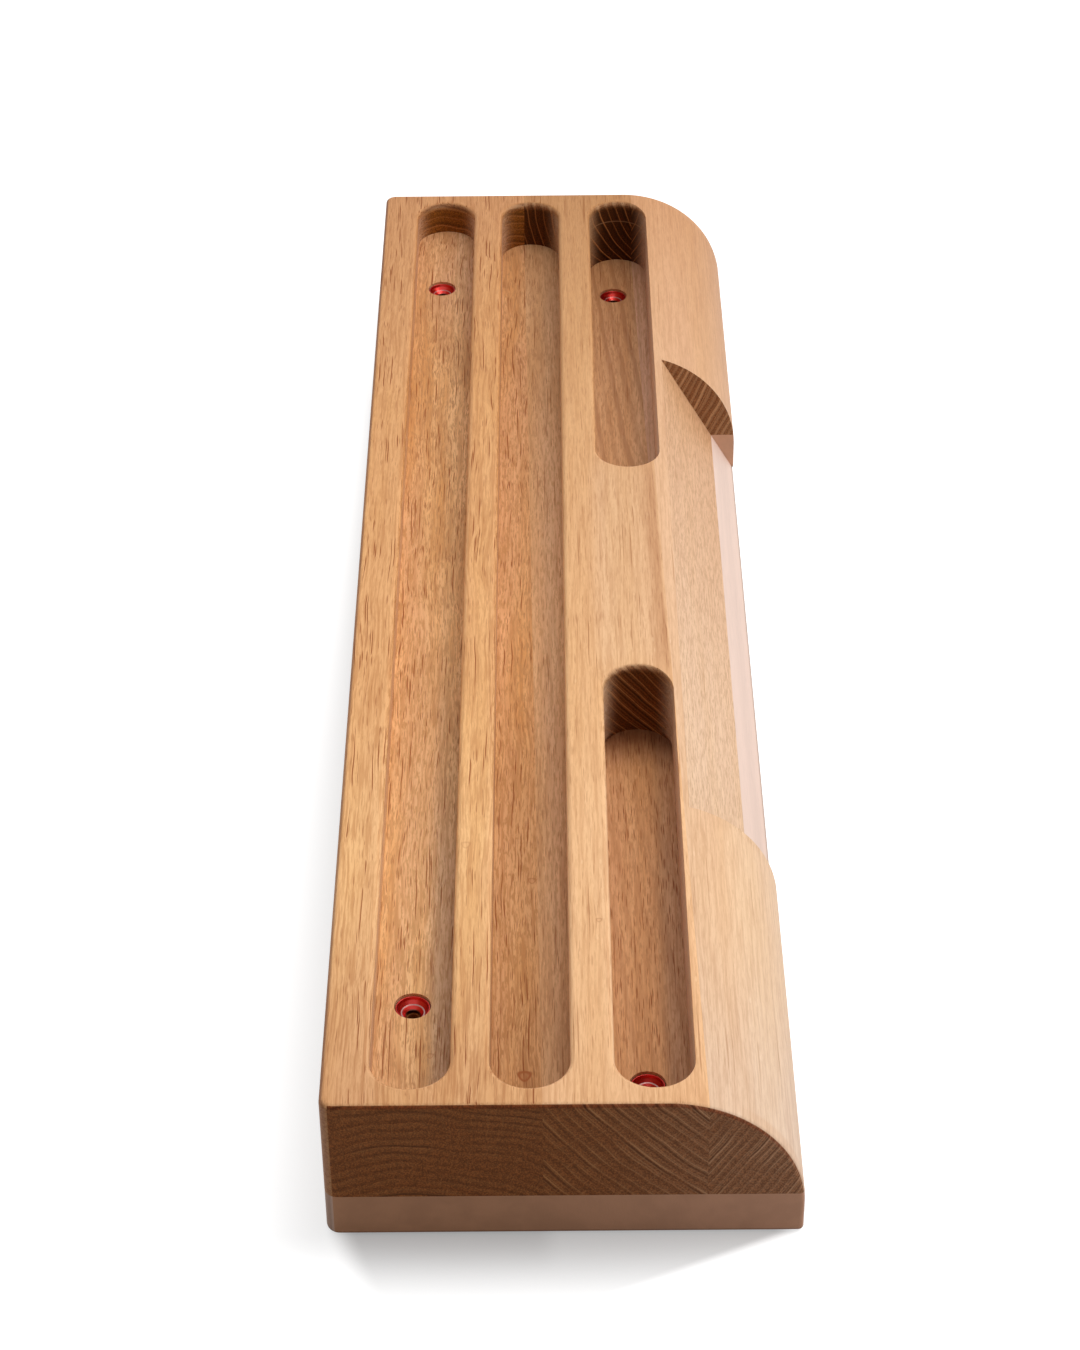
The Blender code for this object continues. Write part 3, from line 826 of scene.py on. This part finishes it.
def board_tree():
    """One board of the glue-up: what a block with slanting long sides takes out of the routed blank."""
    tree, maker, given = geometry_tree("glued_board", Object=["Blank"], Float=BOARD_LABELS)
    length, low_left, low_right, high_left, high_right, back, front = maker.numbers(given, BOARD_LABELS)
    blank = maker.node("GeometryNodeObjectInfo", None, {"Object": given["Blank"]}).outputs["Geometry"]
    x, y, z = maker.parts(maker.geometry("InputPosition"))
    new_x = x * (length + 2 * CLEAR)
    to_right = new_x / length + 0.5
    low_y = low_left + to_right * (low_right - low_left)
    high_y = high_left + to_right * (high_right - high_left)
    position = maker.vector(new_x, low_y + (y + 0.5) * (high_y - low_y), back + (z + 0.5) * (front - back))
    block = maker.geometry("MeshCube", {"Size": (1, 1, 1)})
    placed = maker.geometry("SetPosition", {"Geometry": block, "Position": position})
    cut = maker.node("GeometryNodeMeshBoolean", {"operation": "INTERSECT", "solver": "EXACT"})
    for solid in (blank, placed):
        tree.links.new(solid, cut.inputs["Mesh 2"])
    end_tree(maker, cut.outputs[0], given["Finish"])
    return tree


def washers_tree():
    """A washer at each named place, which keeps its own turned coordinates."""
    tree, maker, given = geometry_tree("cup_washers", Object=["Washer"], Vector=WASHERS)
    washer = maker.node("GeometryNodeObjectInfo", None, {"Object": given["Washer"]}).outputs["Geometry"]
    kept = maker.geometry("StoreNamedAttribute", {"Geometry": washer, "Name": "turned",
                                                  "Value": maker.geometry("InputPosition")},
                          data_type="FLOAT_VECTOR", domain="POINT")
    points = maker.geometry("MeshLine", {"Count": len(WASHERS)})
    index = Number(maker, maker.geometry("InputIndex"))
    where = (0, 0, 0)
    for i, place in enumerate(WASHERS):
        here = maker.maths("COMPARE", index, i, 0.5)
        where = maker.moved(maker.scaled(given[place], maker.vector(here, here, here)), where)
    placed = maker.geometry("SetPosition", {"Geometry": points, "Position": where})
    copies = maker.geometry("InstanceOnPoints", {"Points": placed, "Instance": kept})
    end_tree(maker, copies, given["Finish"])
    return tree


def bench():
    """The hidden collection of blanks and cutters."""
    collection = bpy.data.collections.get(BENCH)
    if collection is None:
        collection = bpy.data.collections.new(BENCH)
        bpy.context.scene.collection.children.link(collection)
    return collection


def mesh_from(bm, name):
    bmesh.ops.recalc_face_normals(bm, faces=bm.faces)
    mesh = bpy.data.meshes.new(name)
    bm.to_mesh(mesh)
    bm.free()
    return mesh


def on_bench(name, mesh):
    thing = bpy.data.objects.new(name, mesh)
    thing.hide_render = True
    bench().objects.link(thing)
    return thing


def in_scene(name, data):
    thing = bpy.data.objects.new(name, data)
    bpy.context.scene.collection.objects.link(thing)
    return thing


def settle(thing):
    """The object's modifiers become its plain mesh."""
    depsgraph = bpy.context.evaluated_depsgraph_get()
    mesh = bpy.data.meshes.new_from_object(thing.evaluated_get(depsgraph), depsgraph=depsgraph)
    thing.modifiers.clear()
    thing.data = mesh


def run_tree(name, tree, values, collection):
    """A new object whose mesh a geometry tree makes from named values."""
    thing = bpy.data.objects.new(name, bpy.data.meshes.new(name))
    modifier = thing.modifiers.new(tree.name, "NODES")
    modifier.node_group = tree
    for item in tree.interface.items_tree:
        if item.in_out == "INPUT" and item.name in values:
            modifier[item.identifier] = values[item.name]
    collection.objects.link(thing)
    settle(thing)
    thing.data.name = name
    if not thing.data.polygons:
        raise RuntimeError(name + " came out empty")
    return thing


def finish_piece(thing, nodes):
    """Normals that keep large faces flat, and the piece's place in the frame."""
    weighted = thing.modifiers.new("flat_faces", "WEIGHTED_NORMAL")
    weighted.keep_sharp = True
    settle(thing)
    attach(thing, BODY)
    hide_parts(*nodes)


def rounded(corners, steps):
    """An outline of (x, y, radius) corners with each corner that has a radius rounded by an arc."""
    outline = []
    for i, (x, y, radius) in enumerate(corners):
        if radius == 0:
            outline.append((x, y))
            continue
        corner = Vector((x, y))
        before = (Vector(corners[i - 1][:2]) - corner).normalized()
        after = (Vector(corners[(i + 1) % len(corners)][:2]) - corner).normalized()
        half = before.angle(after) / 2
        middle = corner + (before + after).normalized() * (radius / sin(half))
        start = corner + before * (radius / tan(half)) - middle
        sweep = start.angle_signed(corner + after * (radius / tan(half)) - middle)
        for step in range(steps + 1):
            outline.append(tuple(middle + Matrix.Rotation(-sweep * step / steps, 2) @ start))
    return outline


def prism_along_x(bm, section, x_from, x_to):
    """A closed solid between two copies of a (y, z) outline."""
    ends = [[bm.verts.new((x, y, z)) for y, z in section] for x in (x_from, x_to)]
    for i, j in zip(range(len(section)), [*range(1, len(section)), 0]):
        bm.faces.new((ends[0][i], ends[0][j], ends[1][j], ends[1][i]))
    bm.faces.new(ends[0][::-1])
    bm.faces.new(ends[1])


def board_blank(shape):
    """The glued-up board with its large round and its sanded corners and edges, before anything is cut."""
    low_y, high_y = -shape.height / 2, shape.height / 2
    section = rounded([(low_y, 0, 0), (high_y, 0, 0), (high_y, shape.thickness, shape.top_radius),
                       (low_y, shape.thickness, 0)], TOP_ROUND_STEPS)
    bm = bmesh.new()
    prism_along_x(bm, section, -shape.length / 2, shape.length / 2)
    bmesh.ops.recalc_face_normals(bm, faces=bm.faces)
    upright = [edge for edge in bm.edges if edge.verts[0].co.y < 0
               and abs(edge.verts[0].co.z - edge.verts[1].co.z) > shape.thickness / 2]
    bmesh.ops.bevel(bm, geom=upright, offset=shape.corner_radius, segments=CORNER_STEPS, profile=0.5,
                    affect="EDGES")
    outer = [edge for edge in bm.edges if edge.calc_face_angle() > EASED_ANGLE]
    bmesh.ops.bevel(bm, geom=outer, offset=shape.easing, segments=EASING_STEPS, profile=0.5, affect="EDGES")
    return mesh_from(bm, "blank")


def sloper_cutter(shape):
    """What the sloper's cut takes away: the round of its front edge leaves the front at a slight angle."""
    edge, tilt = shape.sloper_edge, shape.sloper_tilt
    front_y = shape.height / 2 - shape.thickness * tan(tilt)
    middle_y = front_y - edge * tan((pi / 2 - tilt) / 2)
    middle_z = shape.thickness - edge
    outline = []
    for step in range(SLOPER_EDGE_STEPS + 1):
        tangent = LAST_TANGENT + (tilt - LAST_TANGENT) * step / SLOPER_EDGE_STEPS
        outline.append((middle_y + edge * cos(tangent), middle_z + edge * sin(tangent)))
    leave_y = outline[0][0] - LEAVING_RUN * sin(LAST_TANGENT)
    leave_z = outline[0][1] + LEAVING_RUN * cos(LAST_TANGENT)
    foot_y = shape.height / 2 + CLEAR * tan(tilt)
    section = [(leave_y, leave_z + CLEAR), (leave_y, leave_z), *outline, (foot_y, -CLEAR),
               (foot_y + CLEAR, -CLEAR), (foot_y + CLEAR, leave_z + CLEAR)]
    bm = bmesh.new()
    prism_along_x(bm, section, shape.sloper_left, shape.sloper_right)
    return on_bench("sloper_cutter", mesh_from(bm, "sloper_cutter"))


def turned_mesh(profile, name):
    """A (radius, z) outline turned round Z. It closes on itself, or else starts and ends on the axis."""
    bm = bmesh.new()
    points = [bm.verts.new((radius, 0, z)) for radius, z in profile]
    pairs = [(points[i - 1], points[i]) for i in range(len(points))]
    edges = [bm.edges.new(pair) for pair in pairs if pair[0].co.x + pair[1].co.x > 0]
    bmesh.ops.spin(bm, geom=points + edges, axis=(0, 0, 1), cent=(0, 0, 0), angle=2 * pi, steps=TURNED_STEPS,
                   use_merge=True)
    bmesh.ops.remove_doubles(bm, verts=bm.verts, dist=1e-6)
    return mesh_from(bm, name)


def turned_washer(sizes):
    """A washer round Z, with its lip at the origin: outside, foot, bore, cone, bright step and bowl."""
    bowl, step_z = sizes.radius - sizes.lip, -sizes.step_depth
    corners = [(sizes.radius, 0, sizes.lip_round), (sizes.radius, -sizes.flange, WASHER_EDGE),
               (sizes.foot, -sizes.height, WASHER_EDGE), (sizes.bore, -sizes.height, WASHER_EDGE),
               (sizes.bore, -sizes.seat_depth, CONE_EDGE),
               (sizes.step_radius - sizes.step_width, step_z, WASHER_EDGE),
               (sizes.step_radius, step_z, WASHER_EDGE),
               (bowl - BOWL_SLANT, step_z * 0.45, BOWL_EDGE), (bowl, 0, sizes.lip_round)]
    return on_bench("turned_washer", turned_mesh(rounded(corners, WASHER_EDGE_STEPS), "turned_washer"))


def screw_hole_cutter(name, place, sizes):
    """The washer's seat in a groove's floor, and the screw hole on through the board."""
    seat, foot = sizes.radius + sizes.gap, sizes.foot + sizes.gap
    top = place.z + CLEAR / 2
    flange_bottom = place.z - sizes.flange - sizes.gap
    bottom = place.z - sizes.height - sizes.gap
    mesh = turned_mesh([(0, top), (seat, top), (seat, flange_bottom), (foot, bottom),
                        (sizes.screw_hole, bottom), (sizes.screw_hole, -CLEAR), (0, -CLEAR)], name)
    mesh.transform(Matrix.Translation((place.x, place.y, 0)))
    return on_bench(name, mesh)


def add_boolean(thing, cutter):
    boolean = thing.modifiers.new(cutter.name, "BOOLEAN")
    boolean.operation = "DIFFERENCE"
    boolean.solver = "EXACT"
    boolean.object = cutter


class HANGBOARD_OT_routed_blank(bpy.types.Operator):
    """Shape the whole glue-up and rout its sloper, slots, pockets and screw holes"""
    bl_idname = "hangboard.routed_blank"
    bl_label = "Shape and rout the blank"

    def execute(self, context):
        shape, holds = context.scene.hangboard_shape, context.scene.hangboard_holds
        blank = on_bench(BLANK, board_blank(shape))
        add_boolean(blank, sloper_cutter(shape))
        end_x = shape.length / 2 - holds.end_wall
        grooves = {
            "lower_slot": (-end_x, end_x, holds.lower_y, holds.lower_depth),
            "middle_slot": (-end_x, end_x, holds.middle_y, holds.middle_depth),
            "left_pocket": (-end_x, -holds.pocket_end, holds.pocket_y, holds.pocket_depth),
            "right_pocket": (holds.pocket_end, end_x, holds.pocket_y, holds.pocket_depth),
        }
        tree = groove_tree()
        for name, (left, right, place, depth) in grooves.items():
            numbers = (left, right, place, holds.width, shape.thickness - depth, shape.thickness, holds.rim)
            cutter = run_tree(name + "_cutter", tree, dict(zip(GROOVE_LABELS, numbers)), bench())
            cutter.hide_render = True
            add_boolean(blank, cutter)
        for name, place in WASHERS.items():
            cutter = screw_hole_cutter(name + "_hole_cutter", place, context.scene.hangboard_washers)
            add_boolean(blank, cutter)
        settle(blank)
        return {"FINISHED"}


def cut_board(name, low_line, high_line, heights, material, node):
    """One finished board of the glue-up, between two slanted lines, each given by Y at the left and right
    end, and two heights."""
    scene = bpy.context.scene
    tree = bpy.data.node_groups.get("glued_board") or board_tree()
    numbers = (scene.hangboard_shape.length, *low_line, *high_line, *heights)
    values = {**dict(zip(BOARD_LABELS, numbers)), "Blank": bpy.data.objects[BLANK], "Finish": material}
    finish_piece(run_tree(name, tree, values, scene.collection), [node])


class HANGBOARD_OT_oak_staves(bpy.types.Operator):
    """Cut the three oak staves out of the routed blank and give each its own grain"""
    bl_idname = "hangboard.oak_staves"
    bl_label = "Oak staves"

    def execute(self, context):
        scene = context.scene
        lines = (BOTTOM_EDGE, LOWER_JOINT, UPPER_JOINT, TOP_EDGE)
        heights = (GLUE_LINE_Z, CAD_HIGH.z + CLEAR)
        for low_line, high_line, (place, cut) in zip(lines, lines[1:], OAK_CUTS.items()):
            face = tuple(getattr(scene.hangboard_colours, place + "_oak"))
            material = oak_material("oak_" + place + "_stave", scene.hangboard_colours, face, cut,
                                    scene.hangboard_shape, scene.hangboard_holds)
            cut_board(place + "_stave", low_line, high_line, heights, material, "oak_stave_" + place)
        return {"FINISHED"}


class HANGBOARD_OT_base_board(bpy.types.Operator):
    """Cut the pale base board out of the routed blank"""
    bl_idname = "hangboard.base_board"
    bl_label = "Base board"

    def execute(self, context):
        scene = context.scene
        material = base_material("pale_hardwood", scene.hangboard_colours, scene.hangboard_shape,
                                 scene.hangboard_holds)
        cut_board("base_layer", BOTTOM_EDGE, TOP_EDGE, (-CLEAR, GLUE_LINE_Z), material,
                  "base_board")
        return {"FINISHED"}


class HANGBOARD_OT_cup_washers(bpy.types.Operator):
    """Turn a cup washer and set it into the four screw seats"""
    bl_idname = "hangboard.cup_washers"
    bl_label = "Cup washers"

    def execute(self, context):
        sizes = context.scene.hangboard_washers
        material = washer_material("red_anodised_metal", context.scene.hangboard_colours, sizes)
        values = {"Washer": turned_washer(sizes), "Finish": material}
        values.update({name: tuple(place) for name, place in WASHERS.items()})
        washers = run_tree("cup_washers", washers_tree(), values, context.scene.collection)
        finish_piece(washers, ["cup_washer_" + name for name in WASHERS])
        return {"FINISHED"}


class HANGBOARD_OT_clear_bench(bpy.types.Operator):
    """Remove the blank and the cutters"""
    bl_idname = "hangboard.clear_bench"
    bl_label = "Clear the bench"

    def execute(self, context):
        for thing in list(bench().objects):
            bpy.data.objects.remove(thing, do_unlink=True)
        bpy.data.collections.remove(bench())
        return {"FINISHED"}


def white_for_the_eye(maker):
    """1 where a ray comes from the camera, a reflection or glass, which show the plain white background."""
    camera, glossy, transmission = maker.numbers(
        maker.node("ShaderNodeLightPath").outputs, ("Is Camera Ray", "Is Glossy Ray", "Is Transmission Ray"))
    return maker.maths("MINIMUM", camera + glossy + transmission, 1)


def floor_glow(maker, stage):
    """How white the floor looks: less in the near end's shadow and beside the lower side, and not at all
    under the board."""
    x, y = maker.parts(maker.node("ShaderNodeTexCoord").outputs["Object"])[:2]
    ahead = (x - CAD_HIGH.x).larger(0)
    shadow = ((y - CAD_LOW.y - ahead * stage.shadow_left).rise(-0.001, stage.shadow_fade)
              * (y - CAD_HIGH.y + ahead * stage.shadow_right).fall(-stage.shadow_fade, 0.001)
              * abs(x - CAD_HIGH.x).fall(0.0, stage.shadow_reach))
    near_share = x.rise(CAD_LOW.x + 0.06, CAD_HIGH.x)
    width = near_share * 0.024 + 0.010
    side_shade = (((CAD_LOW.y - y) / width).fall(0.0, 1.0) * y.fall(-0.01, 0.0) * (1 - near_share * 0.42)
                  * x.hump(CAD_LOW.x + 0.05, CAD_LOW.x + 0.10, CAD_HIGH.x, CAD_HIGH.x + 0.020))
    beside = abs(x).rise(CAD_HIGH.x - 0.004, CAD_HIGH.x - 0.002)
    above = abs(y).rise(CAD_HIGH.y - 0.004, CAD_HIGH.y - 0.002)
    glow = stage.glow - shadow * (stage.glow - stage.shadow_glow)
    return glow * (1 - side_shade * stage.side_shade) * beside.larger(above)


def make_floor(stage):
    """A pale floor that looks white but keeps the board's shadow."""
    bm = bmesh.new()
    bmesh.ops.create_grid(bm, x_segments=1, y_segments=1, size=FLOOR_HALF)
    floor = in_scene("floor", mesh_from(bm, "floor"))
    material, maker = new_material("floor")
    diffuse = maker.node("ShaderNodeBsdfDiffuse", None, {"Color": (*stage.floor, 1.0)})
    strength = white_for_the_eye(maker) * floor_glow(maker, stage)
    shine = maker.node("ShaderNodeEmission", None, {"Strength": strength})
    both = maker.node("ShaderNodeAddShader", None, {0: diffuse.outputs[0], 1: shine.outputs[0]})
    maker.node("ShaderNodeOutputMaterial", None, {"Surface": both.outputs[0]})
    floor.data.materials.append(material)


def make_world(stage):
    """Even studio light that is dimmer on the camera's side, in front of a white background."""
    world = bpy.data.worlds.new("studio")
    bpy.context.scene.world = world
    maker = start_nodes(world)
    direction = maker.parts(maker.node("ShaderNodeTexCoord").outputs["Generated"])
    light = stage.sky - direction[0] * stage.sky_lean
    strength = light + white_for_the_eye(maker) * (1 - light)
    background = maker.node("ShaderNodeBackground", None, {"Color": (1, 1, 1, 1), "Strength": strength})
    maker.node("ShaderNodeOutputWorld", None, {"Surface": background.outputs[0]})


def make_softbox(stage):
    """A softbox over the jugs' side, which faces the board."""
    data = bpy.data.lights.new("softbox", "AREA")
    data.energy = stage.softbox
    data.shape = "RECTANGLE"
    data.size, data.size_y = SOFTBOX_SIZE
    lamp = in_scene("softbox", data)
    lamp.location = SOFTBOX_PLACE
    direction = Vector(SOFTBOX_TARGET) - Vector(SOFTBOX_PLACE)
    lamp.rotation_euler = direction.to_track_quat("-Z", "Y").to_euler()


def make_camera(stage):
    """The photograph's camera, seen over the board's near end."""
    data = bpy.data.cameras.new("camera")
    data.sensor_fit = "VERTICAL"
    data.sensor_height = 36.0
    data.lens = stage.lens
    camera = in_scene("camera", data)
    yaw = Matrix.Rotation(pi / 2 - stage.camera_yaw, 4, "Z")
    pitch = Matrix.Rotation(pi / 2 - stage.camera_pitch, 4, "X")
    roll = Matrix.Rotation(-stage.camera_roll, 4, "Z")
    camera.matrix_world = Matrix.Translation(stage.camera_place) @ yaw @ pitch @ roll
    bpy.context.scene.camera = camera


class HANGBOARD_OT_stage(bpy.types.Operator):
    """Lay a pale floor, light it softly and set up the camera"""
    bl_idname = "hangboard.stage"
    bl_label = "Stage"

    def execute(self, context):
        for make in (make_floor, make_world, make_softbox, make_camera):
            make(context.scene.hangboard_stage)
        context.scene.view_settings.view_transform = "Standard"
        return {"FINISHED"}


class HANGBOARD_PT_sidebar(bpy.types.Panel):
    """The hangboard's sizes, colours and steps"""
    bl_label = "Hangboard"
    bl_idname = "HANGBOARD_PT_sidebar"
    bl_space_type = "VIEW_3D"
    bl_region_type = "UI"
    bl_category = "Hangboard"

    def draw(self, context):
        layout = self.layout
        for group_name, group in GROUPS.items():
            box = layout.box()
            for field in group.__annotations__:
                box.prop(getattr(context.scene, group_name), field)
        for step in STEPS:
            layout.operator(step.bl_idname)


STEPS = (HANGBOARD_OT_routed_blank, HANGBOARD_OT_oak_staves, HANGBOARD_OT_base_board,
         HANGBOARD_OT_cup_washers, HANGBOARD_OT_clear_bench, HANGBOARD_OT_stage)
CLASSES = (*GROUPS.values(), *STEPS, HANGBOARD_PT_sidebar)


def register():
    for cls in CLASSES:
        bpy.utils.register_class(cls)
    for name, group in GROUPS.items():
        setattr(bpy.types.Scene, name, PointerProperty(type=group))


def unregister():
    for name in GROUPS:
        delattr(bpy.types.Scene, name)
    for cls in reversed(CLASSES):
        bpy.utils.unregister_class(cls)


def main():
    register()
    bpy.ops.hangboard.routed_blank()
    bpy.ops.hangboard.oak_staves()
    bpy.ops.hangboard.base_board()
    bpy.ops.hangboard.cup_washers()
    bpy.ops.hangboard.clear_bench()
    bpy.ops.hangboard.stage()


if __name__ == "__main__":
    main()
